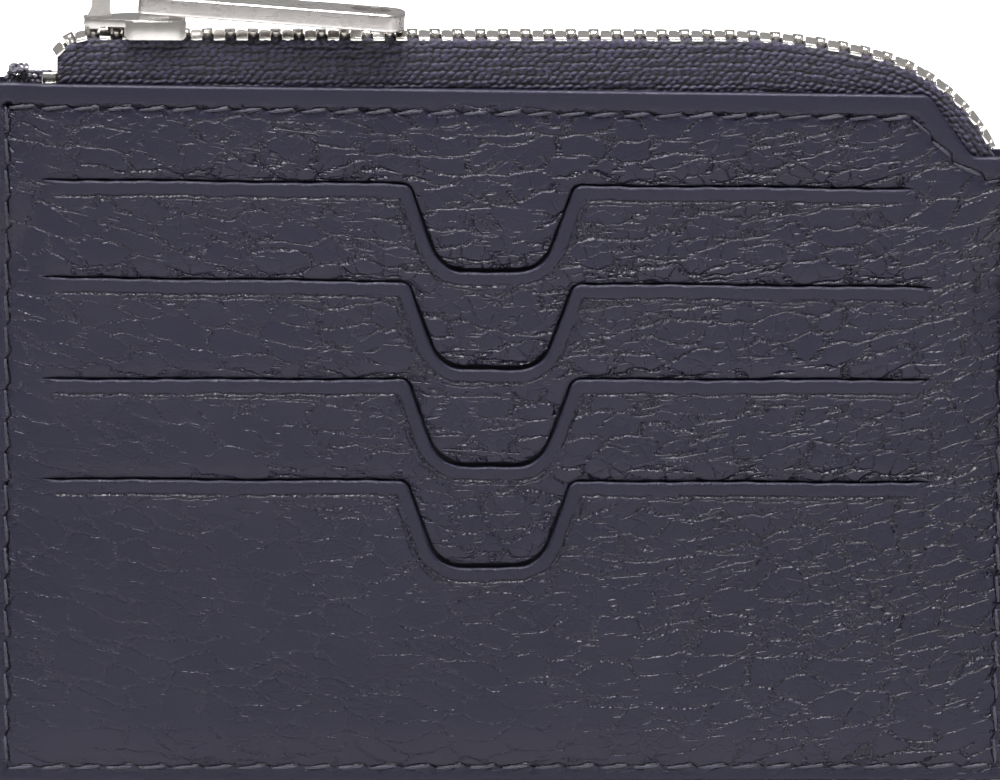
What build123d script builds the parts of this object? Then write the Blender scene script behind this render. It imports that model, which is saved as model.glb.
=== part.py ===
from build123d import *
import math
import os

# A slim zipped card holder, standing upright on its bottom edge.
# +Z is up towards the zip, +X is to the right and the card slots face -Y.
# The origin is on the ground plane, below the middle of the object.
# All sizes are in millimetres.

# Leather outline
WIDTH = 105.0
HEIGHT = 72.6
HALF_WIDTH = WIDTH / 2
SHOULDER_Z = 65.2          # where the cut-away corner meets the right edge
CORNER_X = 43.0            # where the straight top edge ends
SHOULDER_X = 46.9          # where the slanted cut meets the shoulder
CORNER_ROUND = 1.6
FOOT_ROUND = 1.2           # bottom corners and the top left corner

# How the sheets lie: the holder is a thin wedge, thin at the bottom and thick at the zip
LEATHER = 1.1
OUTER_Y_BOTTOM = 1.85      # outer face of each leather, from the middle plane
OUTER_Y_TOP = 3.75
SHEET_GAP = 0.03
POCKET_SHEET = 0.15
LINING_SHEET = 0.15
BACK_LINING_Y_BOTTOM = 0.72
BACK_LINING_Y_TOP = 1.90

# Card slots, cut through the front leather
SLOT_ZS = (62.8, 52.4, 42.2, 31.8)     # top slot first
SLOT_LEFT_X = -47.4
SLOT_RIGHT_XS = (41.6, 43.7, 43.7, 43.7)
SLOT_CUT = 0.35
NOTCH_X = -1.7             # middle of every thumb notch
NOTCH_TOP = 17.9
NOTCH_FLOOR = 9.6
NOTCH_DEPTH = 8.9
NOTCH_LIP_ROUND = 0.9
NOTCH_FLOOR_ROUND = 2.9

# Pocket sheets and linings
POCKET_LEFT_X = -48.2
POCKET_RIGHT_X = 44.4
POCKET_GLUE = 3.6          # how far each pocket sheet is glued above its slot
POCKET_FOOT_Z = 3.2
TOP_POCKET_FOOT_Z = 11.0
LINING_MARGIN = 0.5        # the linings are sewn into the perimeter seam
CORNER_MARGIN = 4.8
FRONT_LINING_TOP_Z = 68.0
BACK_LINING_TOP_Z = 68.0

# Zip path: the middle of the chain, seen from the front
CHAIN_Z = 76.8
CHAIN_LEFT_X = -42.4
CHAIN_BEND_X = 22.0
LEFT_RADIUS = 4.0          # the tape ends turn down at the left
GENTLE_RADIUS = 65.0
GENTLE_TURN = 14.0
TIGHT_RADIUS = 17.8
TIGHT_TURN = 54.0

# Zip teeth
TOOTH_PITCH = 2.32
TOOTH_HALF_THICK = 1.0
TOOTH_WIDTH = 1.2
HEAD_WIDTH = 0.98
HEAD_REACH = 0.5           # how far a head crosses the middle of the chain
HEAD_ROOT = 0.62
TOOTH_OUTER_Y = 2.4
LOWER_LEG_Y = 1.85
PARTED_Y = 0.85            # the last teeth stand apart at the slider's mouth
FIRST_TOOTH_X = -40.4
PARTED_TEETH = 2

# Zip tapes
TAPE = 0.5
TAPE_OUTER_Y = 2.5
TAPE_EDGE_Y = 1.4          # inner edge of the tape, held in the teeth
TAPE_DROP = 8.2            # from the middle of the chain down to the sewn edge
TAPE_CLEAR = 0.04
BACK_TAPE_LEFT_X = -50.4
BACK_TAPE_TAIL_Z = 74.3
TAPE_TAIL_TURN = 6.0       # extra turn of the tape behind the shoulder

# Slider
SLIDER_LEFT_X = -43.2
SLIDER_RIGHT_X = -32.8
FLANGE_LEFT_X = -39.1
PLATE = 1.15
PLATE_CLEAR = 0.15
PLATE_LOW_Z = CHAIN_Z + TOOTH_HALF_THICK + PLATE_CLEAR
PLATE_HIGH_Z = PLATE_LOW_Z + PLATE
LOWER_PLATE_HIGH_Z = CHAIN_Z - TOOTH_HALF_THICK - PLATE_CLEAR
PLATE_HALF_Y = 3.5
NOSE_HALF_Y = 2.9
FLANGE_INNER_Y = 2.75
FLANGE_BOTTOM_Z = 77.1
LOWER_PLATE_HALF_Y = 1.6
POST_LEFT_X = -43.0
POST_RIGHT_X = -41.5
POST_HALF_Y = 0.45

# Bridge over the slider
BRIDGE_LEFT_X = -42.3
BRIDGE_RIGHT_X = -33.3
BRIDGE_BAR = 1.1
BRIDGE_LEG = 1.9
BRIDGE_HALF_Y = 1.0
BRIDGE_RISE = 4.3
BRIDGE_ROUND = 2.2
BRIDGE_SEAT = 0.35

# Pull tab
PULL_PIVOT_X = -36.8
PULL_PIVOT_Z = 80.65
PULL_LENGTH = 27.2
PULL_WIDTH = 7.0
PULL_THICK = 1.9
PULL_NEAR = 0.75           # crossbar, pivot to the near end
PULL_WINDOW_START = 0.8
PULL_WINDOW_END = 6.2
PULL_WINDOW_WIDTH = 3.4
PULL_TILT = 3.9            # far end lies this much below level
PULL_YAW = 3.0             # and this much towards the front
PULL_HOLE_RADIUS = 2.05
PULL_HOLE_FROM_END = 3.6
PULL_END_ROUND = 2.2
PULL_EDGE = 0.35

# Seams
STITCH_PITCH = 3.3
STITCH_LENGTH = 2.5
STITCH_WIDE = 0.55
STITCH_THICK = 0.25
GROOVE_DEPTH = 0.3
GROOVE_WIDE = 0.7
SEAM_MARGIN = 1.6
ZIP_SEAM_Z = 70.3
ZIP_SEAM_BEND = (41.2, 70.3)
ZIP_SEAM_HOLE = (45.6, 65.1)
ZIP_SEAM_END = (49.0, 63.0)
RIGHT_SEAM_TOP_Z = 62.0

PARTS = {}


def outer_y(z):
    """Distance of the leather's outer face from the middle plane at height z."""
    return OUTER_Y_BOTTOM + (OUTER_Y_TOP - OUTER_Y_BOTTOM) * z / HEIGHT


def sheet(y_bottom, y_top, thickness, side):
    """An upright slab the size of the holder, its outer face at the given distances.

    side is -1 for the front half and 1 for the back half.
    """
    section = Polyline(
        (0, side * y_bottom, 0),
        (0, side * y_top, HEIGHT),
        (0, side * (y_top - thickness), HEIGHT),
        (0, side * (y_bottom - thickness), 0),
        close=True,
    )
    return extrude(make_face(section), amount=HALF_WIDTH, dir=(1, 0, 0), both=True)


def through(face, reach=12.0):
    """A face drawn in the XZ plane, made into a block that runs through the holder."""
    return extrude(face, amount=reach, dir=(0, 1, 0), both=True)


def leather_outline():
    """Front view of both leathers: a rectangle with the top right corner cut away."""
    points = [
        (-HALF_WIDTH, 0, 0),
        (HALF_WIDTH, 0, 0),
        (HALF_WIDTH, 0, SHOULDER_Z),
        (SHOULDER_X + 0.6, 0, SHOULDER_Z),
        (CORNER_X, 0, HEIGHT),
        (-HALF_WIDTH, 0, HEIGHT),
    ]
    radii = [FOOT_ROUND, FOOT_ROUND, 0.8, CORNER_ROUND, CORNER_ROUND, FOOT_ROUND]
    return make_face(FilletPolyline(*points, radius=radii, close=True))


def slot_line(slot_z, right_x):
    """The line of one slot, with its thumb notch."""
    return FilletPolyline(
        (SLOT_LEFT_X, 0, slot_z),
        (NOTCH_X - NOTCH_TOP / 2, 0, slot_z),
        (NOTCH_X - NOTCH_FLOOR / 2, 0, slot_z - NOTCH_DEPTH),
        (NOTCH_X + NOTCH_FLOOR / 2, 0, slot_z - NOTCH_DEPTH),
        (NOTCH_X + NOTCH_TOP / 2, 0, slot_z),
        (right_x, 0, slot_z),
        radius=[NOTCH_LIP_ROUND, NOTCH_FLOOR_ROUND, NOTCH_FLOOR_ROUND, NOTCH_LIP_ROUND],
    )


def slot_cut(slot_z, right_x):
    """A narrow block along one slot line."""
    line = Plane.XZ.to_local_coords(slot_line(slot_z, right_x))
    ribbon = trace(line, line_width=SLOT_CUT)
    return through(Plane.XZ * ribbon)


def upright_rectangle(left, right, bottom, top):
    """A rectangle in the XZ plane."""
    corners = [(left, 0, bottom), (right, 0, bottom), (right, 0, top), (left, 0, top)]
    return make_face(Polyline(*corners, close=True))


def make_leathers():
    """The front leather with its four slots, and the plain back leather."""
    outline = through(leather_outline())
    front = sheet(OUTER_Y_BOTTOM, OUTER_Y_TOP, LEATHER, -1) & outline
    for slot_z, right_x in zip(SLOT_ZS, SLOT_RIGHT_XS):
        front -= slot_cut(slot_z, right_x)
    back = sheet(OUTER_Y_BOTTOM, OUTER_Y_TOP, LEATHER, 1) & outline
    for seam in (PERIMETER_SEAM, ZIP_SEAM):
        front -= groove(seam, -1)
        back -= groove(seam, 1)
    PARTS["front_panel"] = front
    PARTS["back_panel"] = back


def make_pockets():
    """One thin pocket sheet behind each slot, the top slot's sheet furthest in."""
    for number, slot_z in enumerate(SLOT_ZS, start=1):
        layer = len(SLOT_ZS) - number
        depth = LEATHER + SHEET_GAP + layer * (POCKET_SHEET + SHEET_GAP)
        foot = TOP_POCKET_FOOT_Z if number == 1 else POCKET_FOOT_Z
        window = upright_rectangle(POCKET_LEFT_X, POCKET_RIGHT_X, foot, slot_z + POCKET_GLUE)
        body = sheet(OUTER_Y_BOTTOM - depth, OUTER_Y_TOP - depth, POCKET_SHEET, -1)
        PARTS[f"card_pocket_{number}"] = body & through(window)


def make_linings():
    """The two linings of the zipped compartment."""
    depth = LEATHER + (len(SLOT_ZS) + 1) * (POCKET_SHEET + SHEET_GAP)
    edge = HALF_WIDTH - LINING_MARGIN
    front_window = upright_rectangle(-edge, edge, LINING_MARGIN, FRONT_LINING_TOP_Z)
    cut = upright_rectangle(CORNER_X, HALF_WIDTH, SHOULDER_Z - CORNER_MARGIN, HEIGHT)
    front = sheet(OUTER_Y_BOTTOM - depth, OUTER_Y_TOP - depth, LINING_SHEET, -1)
    PARTS["front_lining"] = (front & through(front_window)) - through(cut)
    back_window = upright_rectangle(-edge, edge, LINING_MARGIN, BACK_LINING_TOP_Z)
    back = sheet(BACK_LINING_Y_BOTTOM, BACK_LINING_Y_TOP, LINING_SHEET, 1)
    PARTS["back_lining"] = (back & through(back_window)) - through(cut)


GENTLE_CENTRE = Vector(CHAIN_BEND_X, 0, CHAIN_Z - GENTLE_RADIUS)
TIGHT_START = GENTLE_CENTRE + Vector(
    GENTLE_RADIUS * math.sin(math.radians(GENTLE_TURN)),
    0,
    GENTLE_RADIUS * math.cos(math.radians(GENTLE_TURN)),
)
TIGHT_CENTRE = TIGHT_START - Vector(
    TIGHT_RADIUS * math.sin(math.radians(GENTLE_TURN)),
    0,
    TIGHT_RADIUS * math.cos(math.radians(GENTLE_TURN)),
)
LEFT_CENTRE = Vector(CHAIN_LEFT_X, 0, CHAIN_Z - LEFT_RADIUS)


def chain_place(distance):
    """Where the chain's middle is, that far to the right of the first tooth.

    Gives a location whose X axis runs along the chain and whose Z axis points out of it.
    """
    straight = CHAIN_BEND_X - FIRST_TOOTH_X
    left_run = FIRST_TOOTH_X - CHAIN_LEFT_X
    gentle = GENTLE_RADIUS * math.radians(GENTLE_TURN)
    if distance < -left_run:
        turn = (distance + left_run) / LEFT_RADIUS
        centre, radius = LEFT_CENTRE, LEFT_RADIUS
    elif distance <= straight:
        return Location((FIRST_TOOTH_X + distance, 0, CHAIN_Z))
    elif distance <= straight + gentle:
        turn = (distance - straight) / GENTLE_RADIUS
        centre, radius = GENTLE_CENTRE, GENTLE_RADIUS
    else:
        turn = math.radians(GENTLE_TURN) + (distance - straight - gentle) / TIGHT_RADIUS
        centre, radius = TIGHT_CENTRE, TIGHT_RADIUS
    place = centre + Vector(radius * math.sin(turn), 0, radius * math.cos(turn))
    return Location(place, (0, math.degrees(turn), 0))


def tooth(side, meshed):
    """One tooth about the origin, clamped on the tape edge on its own side."""
    inner = -HEAD_REACH if meshed else PARTED_Y
    root = HEAD_ROOT if meshed else PARTED_Y
    upper = Pos(0, side * (root + TOOTH_OUTER_Y) / 2, 0.5 * (TAPE / 2 + TOOTH_HALF_THICK)) * Box(
        TOOTH_WIDTH, TOOTH_OUTER_Y - root, TOOTH_HALF_THICK - TAPE / 2 - TAPE_CLEAR
    )
    lower = Pos(0, side * (root + LOWER_LEG_Y) / 2, -0.5 * (TAPE / 2 + TOOTH_HALF_THICK)) * Box(
        TOOTH_WIDTH, LOWER_LEG_Y - root, TOOTH_HALF_THICK - TAPE / 2 - TAPE_CLEAR
    )
    neck_end = TAPE_EDGE_Y - TAPE_CLEAR
    neck = Pos(0, side * (root + neck_end) / 2, 0) * Box(
        TOOTH_WIDTH, neck_end - root, 2 * TOOTH_HALF_THICK - TAPE_CLEAR
    )
    solid = upper + lower + neck
    if meshed:
        head = Pos(0, side * (inner + root) / 2, 0) * Box(
            HEAD_WIDTH, root - inner, 2 * TOOTH_HALF_THICK - TAPE_CLEAR
        )
        solid += head
    return solid


def make_teeth():
    """A row of separate metal teeth for each tape, meshed from the slider to the right end."""
    straight = CHAIN_BEND_X - FIRST_TOOTH_X
    gentle = GENTLE_RADIUS * math.radians(GENTLE_TURN)
    tight = TIGHT_RADIUS * math.radians(TIGHT_TURN)
    length = straight + gentle + tight
    for name, side, offset in (("front", -1, 0.0), ("back", 1, TOOTH_PITCH / 2)):
        count = int((length - offset - TOOTH_WIDTH) / TOOTH_PITCH) + 1
        meshed = tooth(side, True)
        parted = tooth(side, False)
        row = [chain_place(offset + n * TOOTH_PITCH) * meshed for n in range(count)]
        row += [
            chain_place(offset - (n + 1) * TOOTH_PITCH) * parted for n in range(PARTED_TEETH)
        ]
        PARTS[f"zip_teeth_{name}"] = Compound(children=[solid_of(piece) for piece in row])


def solid_of(shape):
    """The single solid that a shape holds."""
    return shape.solids()[0]


def tape_section(side, top_z, bottom_z, x=0.0):
    """Cross-section of one tape: an upright strip whose top edge turns in to the teeth."""
    outer = side * TAPE_OUTER_Y
    inner = side * (TAPE_OUTER_Y - TAPE)
    edge = side * TAPE_EDGE_Y
    points = [
        (x, outer, bottom_z),
        (x, outer, top_z),
        (x, edge, top_z),
        (x, edge, top_z - TAPE),
        (x, inner, top_z - TAPE),
        (x, inner, bottom_z),
    ]
    return make_face(Polyline(*points, close=True))


def tape_arc(side, centre, radius, start, turn):
    """The tape section turned about a centre, clockwise in the front view."""
    section = tape_section(
        side, centre.Z + radius + TAPE / 2, centre.Z + radius - TAPE_DROP, centre.X
    )
    axis = Axis((centre.X, 0, centre.Z), (0, 1, 0))
    section = section.rotate(axis, start)
    return revolve(section, axis=axis, revolution_arc=turn)


def make_tapes():
    """The two woven tapes, from the turned-down left end to the right shoulder."""
    top = CHAIN_Z + TAPE / 2
    bottom = CHAIN_Z - TAPE_DROP
    for name, side in (("front", -1), ("back", 1)):
        straight = extrude(
            tape_section(side, top, bottom, CHAIN_LEFT_X),
            amount=CHAIN_BEND_X - CHAIN_LEFT_X,
            dir=(1, 0, 0),
        )
        gentle = tape_arc(side, GENTLE_CENTRE, GENTLE_RADIUS, 0, GENTLE_TURN)
        tight = tape_arc(
            side, TIGHT_CENTRE, TIGHT_RADIUS, GENTLE_TURN, TIGHT_TURN + TAPE_TAIL_TURN
        )
        tape = straight + gentle + tight + left_tape_end(side, bottom)
        if side == 1:
            tape += back_tape_tail(bottom)
        leather = sheet(OUTER_Y_BOTTOM, OUTER_Y_TOP, LEATHER + TAPE_CLEAR, side)
        PARTS[f"zip_tape_{name}"] = tape - leather


def left_tape_end(side, bottom):
    """The rounded left end of a tape, with the in-turned edge following the curve."""
    axis = Axis((LEFT_CENTRE.X, 0, LEFT_CENTRE.Z), (0, 1, 0))
    radius = LEFT_RADIUS + TAPE / 2
    edge_section = make_face(
        Polyline(
            (LEFT_CENTRE.X, side * TAPE_OUTER_Y, LEFT_CENTRE.Z),
            (LEFT_CENTRE.X, side * TAPE_OUTER_Y, LEFT_CENTRE.Z + radius),
            (LEFT_CENTRE.X, side * TAPE_EDGE_Y, LEFT_CENTRE.Z + radius),
            (LEFT_CENTRE.X, side * TAPE_EDGE_Y, LEFT_CENTRE.Z + radius - TAPE),
            (LEFT_CENTRE.X, side * (TAPE_OUTER_Y - TAPE), LEFT_CENTRE.Z + radius - TAPE),
            (LEFT_CENTRE.X, side * (TAPE_OUTER_Y - TAPE), LEFT_CENTRE.Z),
            close=True,
        )
    )
    corner = revolve(edge_section.rotate(axis, -90), axis=axis, revolution_arc=90)
    skirt = extrude(
        upright_rectangle(LEFT_CENTRE.X - radius, LEFT_CENTRE.X, bottom, LEFT_CENTRE.Z),
        amount=TAPE,
        dir=(0, side, 0),
    )
    return corner + Pos(0, side * (TAPE_OUTER_Y - TAPE), 0) * skirt


def back_tape_tail(bottom):
    """The unfolded end of the back tape, which lies on to the left edge."""
    tail = extrude(
        upright_rectangle(BACK_TAPE_LEFT_X, CHAIN_LEFT_X, bottom, BACK_TAPE_TAIL_Z),
        amount=TAPE,
        dir=(0, 1, 0),
    )
    return Pos(0, TAPE_OUTER_Y - TAPE, 0) * tail


def make_stops():
    """The metal stops: one on each tape at the left, one across both at the right."""
    left = LEFT_CENTRE.X - LEFT_RADIUS
    front = Pos(left, -TAPE_EDGE_Y + 0.5, LEFT_CENTRE.Z - 0.9) * Box(1.7, 1.7, 1.1)
    back = Pos(left, TAPE_EDGE_Y - 0.5, LEFT_CENTRE.Z - 0.9) * Box(1.7, 1.7, 1.1)
    PARTS["zip_top_stops"] = Compound(
        children=[solid_of(fillet(stop.edges(), 0.2)) for stop in (front, back)]
    )
    straight = CHAIN_BEND_X - FIRST_TOOTH_X
    gentle = GENTLE_RADIUS * math.radians(GENTLE_TURN)
    tight = TIGHT_RADIUS * math.radians(TIGHT_TURN)
    block = Box(2.2, 2 * (TAPE_EDGE_Y - TAPE_CLEAR), 1.9)
    block = fillet(block.edges().filter_by(Axis.Y), 0.4)
    PARTS["zip_bottom_stop"] = chain_place(straight + gentle + tight + 1.3) * block


def make_slider():
    """The slider: two plates joined by a post, with flanges that keep the teeth in mesh."""
    length = SLIDER_RIGHT_X - SLIDER_LEFT_X
    outline = [
        (SLIDER_LEFT_X, -NOSE_HALF_Y + 1.0),
        (SLIDER_LEFT_X + 1.0, -NOSE_HALF_Y),
        (FLANGE_LEFT_X, -PLATE_HALF_Y),
        (SLIDER_RIGHT_X, -PLATE_HALF_Y),
        (SLIDER_RIGHT_X, PLATE_HALF_Y),
        (FLANGE_LEFT_X, PLATE_HALF_Y),
        (SLIDER_LEFT_X + 1.0, NOSE_HALF_Y),
        (SLIDER_LEFT_X, NOSE_HALF_Y - 1.0),
    ]
    face = make_face(Polyline(*outline, close=True))
    top = Pos(0, 0, PLATE_LOW_Z) * extrude(face, amount=PLATE)
    flange_length = SLIDER_RIGHT_X - FLANGE_LEFT_X
    flange_wide = PLATE_HALF_Y - FLANGE_INNER_Y
    flange_tall = PLATE_HIGH_Z - FLANGE_BOTTOM_Z
    flanges = []
    for side in (-1, 1):
        flange = Pos(
            (SLIDER_RIGHT_X + FLANGE_LEFT_X) / 2,
            side * (PLATE_HALF_Y + FLANGE_INNER_Y) / 2,
            FLANGE_BOTTOM_Z + flange_tall / 2,
        ) * Box(flange_length, flange_wide, flange_tall)
        lower_edges = flange.edges().filter_by(Axis.Y).sort_by(Axis.Z)[:2]
        flanges.append(fillet(lower_edges, 0.7))
    lower = Pos(SLIDER_LEFT_X + length / 2, 0, LOWER_PLATE_HIGH_Z - PLATE / 2) * Box(
        length, 2 * LOWER_PLATE_HALF_Y, PLATE
    )
    lower = fillet(lower.edges().filter_by(Axis.Z), 0.8)
    post_middle = ((POST_LEFT_X + POST_RIGHT_X) / 2, 0, (PLATE_LOW_Z + LOWER_PLATE_HIGH_Z) / 2)
    post = Pos(*post_middle) * Box(
        POST_RIGHT_X - POST_LEFT_X, 2 * POST_HALF_Y, PLATE_LOW_Z - LOWER_PLATE_HIGH_Z
    )
    body = top + flanges[0] + flanges[1] + lower + post
    rim = body.faces().sort_by(Axis.Z)[-1].edges()
    PARTS["slider_body"] = fillet(rim, 0.3) - bridge_feet()


def bridge_feet():
    """The two sockets in the slider's top that the bridge's legs are staked into."""
    feet = []
    for centre in (BRIDGE_LEFT_X + BRIDGE_LEG / 2, BRIDGE_RIGHT_X - BRIDGE_LEG / 2):
        feet.append(
            Pos(centre, 0, PLATE_HIGH_Z - BRIDGE_SEAT / 2)
            * Box(BRIDGE_LEG, 2 * BRIDGE_HALF_Y, BRIDGE_SEAT)
        )
    return feet[0] + feet[1]


def make_bridge():
    """The arched bridge that holds the pull tab on the slider."""
    low = PLATE_HIGH_Z - BRIDGE_SEAT
    high = PLATE_HIGH_Z + BRIDGE_RISE
    outer = FilletPolyline(
        (BRIDGE_LEFT_X, 0, low),
        (BRIDGE_LEFT_X, 0, high),
        (BRIDGE_RIGHT_X, 0, high),
        (BRIDGE_RIGHT_X, 0, low),
        radius=[BRIDGE_ROUND, BRIDGE_ROUND],
    )
    inner = FilletPolyline(
        (BRIDGE_RIGHT_X - BRIDGE_LEG, 0, low),
        (BRIDGE_RIGHT_X - BRIDGE_LEG, 0, high - BRIDGE_BAR),
        (BRIDGE_LEFT_X + BRIDGE_LEG, 0, high - BRIDGE_BAR),
        (BRIDGE_LEFT_X + BRIDGE_LEG, 0, low),
        radius=[BRIDGE_ROUND - BRIDGE_BAR, BRIDGE_ROUND - BRIDGE_BAR],
    )
    left_foot = Line((BRIDGE_LEFT_X + BRIDGE_LEG, 0, low), (BRIDGE_LEFT_X, 0, low))
    right_foot = Line((BRIDGE_RIGHT_X, 0, low), (BRIDGE_RIGHT_X - BRIDGE_LEG, 0, low))
    face = make_face(outer.edges() + [right_foot] + inner.edges() + [left_foot])
    PARTS["slider_bridge"] = extrude(face, amount=BRIDGE_HALF_Y, dir=(0, 1, 0), both=True)


def make_pull():
    """The flat pull tab, with a window round the bridge and a round hole at its far end."""
    far = PULL_LENGTH - PULL_NEAR
    bar = Pos((far - PULL_NEAR) / 2, 0, 0) * Box(PULL_LENGTH, PULL_WIDTH, PULL_THICK)
    upright = bar.edges().filter_by(Axis.Z)
    bar = fillet(upright.sort_by(Axis.X)[:2], 0.7)
    bar = fillet(bar.edges().filter_by(Axis.Z).sort_by(Axis.X)[-2:], PULL_END_ROUND)
    window = Pos((PULL_WINDOW_START + PULL_WINDOW_END) / 2, 0, 0) * Box(
        PULL_WINDOW_END - PULL_WINDOW_START, PULL_WINDOW_WIDTH, 2 * PULL_THICK
    )
    window = fillet(window.edges().filter_by(Axis.Z), 0.5)
    hole = Pos(far - PULL_HOLE_FROM_END, 0, 0) * Cylinder(PULL_HOLE_RADIUS, 2 * PULL_THICK)
    bar = bar - window - hole
    rims = bar.faces().filter_by(Axis.Z)
    bar = fillet(rims[0].outer_wire().edges() + rims[1].outer_wire().edges(), PULL_EDGE)
    PARTS["pull_tab"] = (
        Location((PULL_PIVOT_X, 0, PULL_PIVOT_Z)) * Rot(0, 0, -PULL_YAW) * Rot(0, PULL_TILT, 0) * bar
    )


SEAM_SIDE_X = HALF_WIDTH - SEAM_MARGIN
PERIMETER_SEAM = [
    (-SEAM_SIDE_X, ZIP_SEAM_Z - 1.0),
    (-SEAM_SIDE_X, SEAM_MARGIN),
    (SEAM_SIDE_X, SEAM_MARGIN),
    (SEAM_SIDE_X, RIGHT_SEAM_TOP_Z),
]
ZIP_SEAM = [
    (-SEAM_SIDE_X, ZIP_SEAM_Z),
    ZIP_SEAM_BEND,
    ZIP_SEAM_HOLE,
    ZIP_SEAM_END,
    (SEAM_SIDE_X, ZIP_SEAM_END[1]),
]


def seam_place(x, z, depth, angle, side):
    """A place that far below the outer face, with its X axis along the seam."""
    slope = math.atan((OUTER_Y_TOP - OUTER_Y_BOTTOM) / HEIGHT)
    y = side * (outer_y(z) - depth / math.cos(slope))
    return Location((x, y, z)) * Rot(-side * math.degrees(slope), 0, 0) * Rot(0, -angle, 0)


def seam_runs(points):
    """The start, length and angle of each straight run of a seam."""
    for (x0, z0), (x1, z1) in zip(points, points[1:]):
        yield x0, z0, math.hypot(x1 - x0, z1 - z0), math.degrees(math.atan2(z1 - z0, x1 - x0))


def groove(points, side):
    """The shallow groove that a seam lies in, as one solid."""
    cut = Part()
    for x0, z0, run, angle in seam_runs(points):
        x = x0 + run / 2 * math.cos(math.radians(angle))
        z = z0 + run / 2 * math.sin(math.radians(angle))
        cut += seam_place(x, z, 0, angle, side) * Box(run + GROOVE_WIDE, 2 * GROOVE_DEPTH, GROOVE_WIDE)
    return cut


def stitches(points, side):
    """Separate stitches along a seam, lying on the floor of its groove."""
    made = []
    for x0, z0, run, angle in seam_runs(points):
        count = max(1, round(run / STITCH_PITCH))
        for n in range(count):
            along = run * (n + 0.5) / count
            x = x0 + along * math.cos(math.radians(angle))
            z = z0 + along * math.sin(math.radians(angle))
            stitch = Box(STITCH_LENGTH, STITCH_THICK, STITCH_WIDE)
            stitch = fillet(stitch.edges().filter_by(Axis.Y), 0.2)
            depth = GROOVE_DEPTH - STITCH_THICK / 2
            made.append(seam_place(x, z, depth, angle, side) * stitch)
    return made


def make_seams():
    """The perimeter seam on both leathers and the seam that holds each zip tape."""
    both = stitches(PERIMETER_SEAM, -1) + stitches(PERIMETER_SEAM, 1)
    PARTS["perimeter_stitching"] = Compound(children=[solid_of(s) for s in both])
    for name, side in (("front", -1), ("back", 1)):
        row = stitches(ZIP_SEAM, side)
        PARTS[f"zip_stitching_{name}"] = Compound(children=[solid_of(s) for s in row])


make_leathers()
make_pockets()
make_linings()
make_tapes()
make_teeth()
make_stops()
make_slider()
make_bridge()
make_pull()
make_seams()

os.makedirs("parts", exist_ok=True)
for node, shape in PARTS.items():
    export_step(shape, f"parts/{node}.step")
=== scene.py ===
import math

import bmesh
import bpy
import numpy as np
from mathutils import Matrix, Vector
from mathutils.kdtree import KDTree


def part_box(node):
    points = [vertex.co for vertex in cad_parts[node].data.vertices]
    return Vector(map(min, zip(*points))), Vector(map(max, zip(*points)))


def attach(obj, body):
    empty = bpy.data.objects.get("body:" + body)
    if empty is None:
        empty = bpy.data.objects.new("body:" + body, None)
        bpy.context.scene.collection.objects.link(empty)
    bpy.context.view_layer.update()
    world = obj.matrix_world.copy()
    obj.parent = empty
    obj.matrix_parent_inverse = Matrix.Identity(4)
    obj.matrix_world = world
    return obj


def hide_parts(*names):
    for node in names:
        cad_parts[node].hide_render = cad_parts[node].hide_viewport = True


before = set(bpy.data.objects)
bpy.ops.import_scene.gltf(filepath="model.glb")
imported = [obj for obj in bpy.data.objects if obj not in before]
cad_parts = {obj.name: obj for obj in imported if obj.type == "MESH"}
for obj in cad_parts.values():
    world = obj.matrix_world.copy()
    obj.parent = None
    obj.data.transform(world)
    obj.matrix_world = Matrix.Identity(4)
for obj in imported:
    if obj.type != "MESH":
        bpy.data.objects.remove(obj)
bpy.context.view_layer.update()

# Everything below is worked out in millimetres and written to meshes in metres.
MM = 0.001
SEED = 7
rng = np.random.default_rng(SEED)


def corners_mm(node):
    """A CAD node's lowest and highest corners, in millimetres."""
    low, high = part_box(node)
    return np.array(low) / MM, np.array(high) / MM


# ---- sizes from the frame
PANEL_LOW, PANEL_HIGH = corners_mm("front_panel")
HALF_WIDTH = PANEL_HIGH[0]
HEIGHT = PANEL_HIGH[2]
OUTER_TOP = -PANEL_LOW[1]
TEETH_HIGH = corners_mm("zip_teeth_front")[1]
CHAIN_Z = TEETH_HIGH[2] - 1.0

# ---- driving sizes
OUTER_BOTTOM = 1.85
LEATHER = 1.05
SHOULDER_Z = 65.2
CORNER_X = 43.0
SHOULDER_X = 47.5
# Each slot: height, drop towards its right end and where that end is.
SLOTS = ((62.8, 0.85, 41.6), (52.7, 0.95, 43.7), (42.2, 0.05, 43.7), (31.8, 0.38, 43.7))
TOP_DROP = 1.0
SLOT_LEFT = -47.4
NOTCH_X = -1.55
NOTCH_TOP = 8.4
NOTCH_FLOOR = 5.2
NOTCH_DEPTH = 8.9


# ---- small helpers
def smooth(value):
    """0 below 0, 1 above 1, and an even S between."""
    value = np.clip(value, 0.0, 1.0)
    return value * value * (3 - 2 * value)


def rounding(distance, radius):
    """How far a rounded edge falls away: 1 at the cut, 0 from radius inwards."""
    return 1 - np.sqrt(1 - (1 - distance / radius).clip(0, 1) ** 2)


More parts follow.
